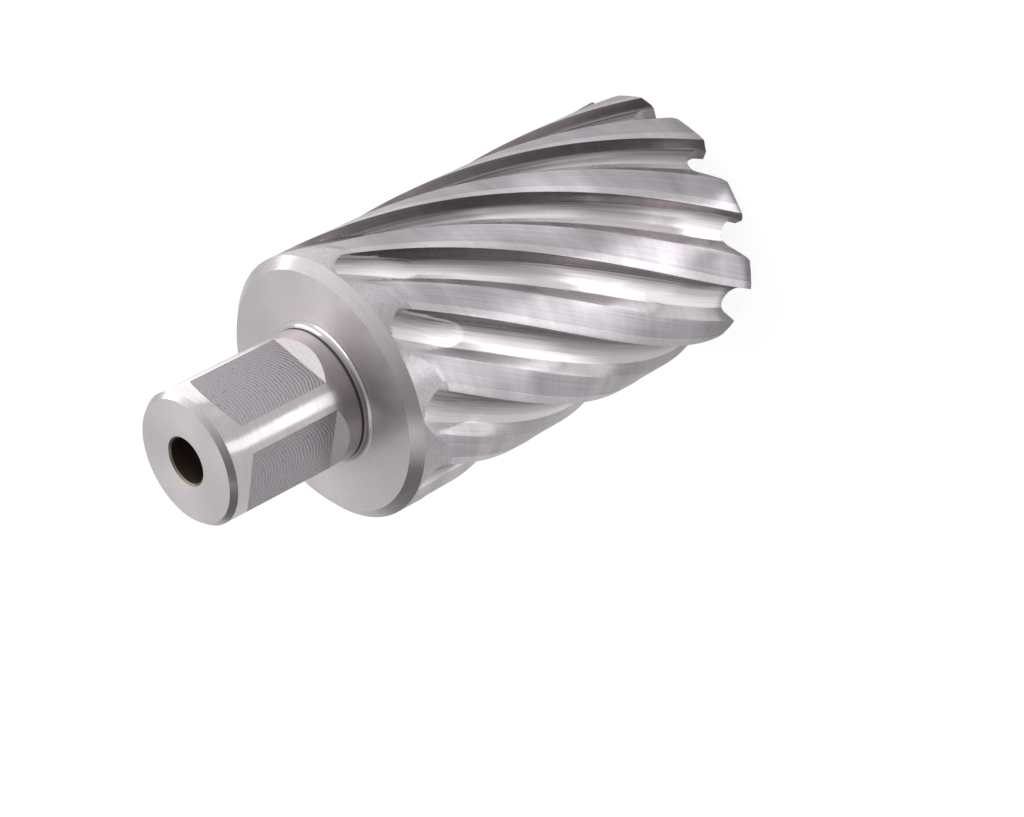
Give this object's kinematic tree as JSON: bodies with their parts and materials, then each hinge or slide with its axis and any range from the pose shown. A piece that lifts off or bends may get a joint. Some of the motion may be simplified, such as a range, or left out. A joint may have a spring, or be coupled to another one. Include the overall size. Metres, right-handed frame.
{
  "type": "annular cutter",
  "caption": "Hollow annular cutter with helical flutes, teeth of alternating shape, a plain shank with side-lock flats and a through bore for a pilot pin.",
  "frame": {"origin": "on the cutter's axis, in the plane of its tooth points, which it stands on", "axes": "+Z along the axis from the tooth points to the shank; +X is a fixed direction across the cutter, near one leading edge at the points"},
  "size_m": [0.038, 0.038, 0.0873],
  "materials": {
    "steel": "ground high-speed steel"
  },
  "bodies": {
    "root": {"cutter": "steel"}
  },
  "joints": []
}
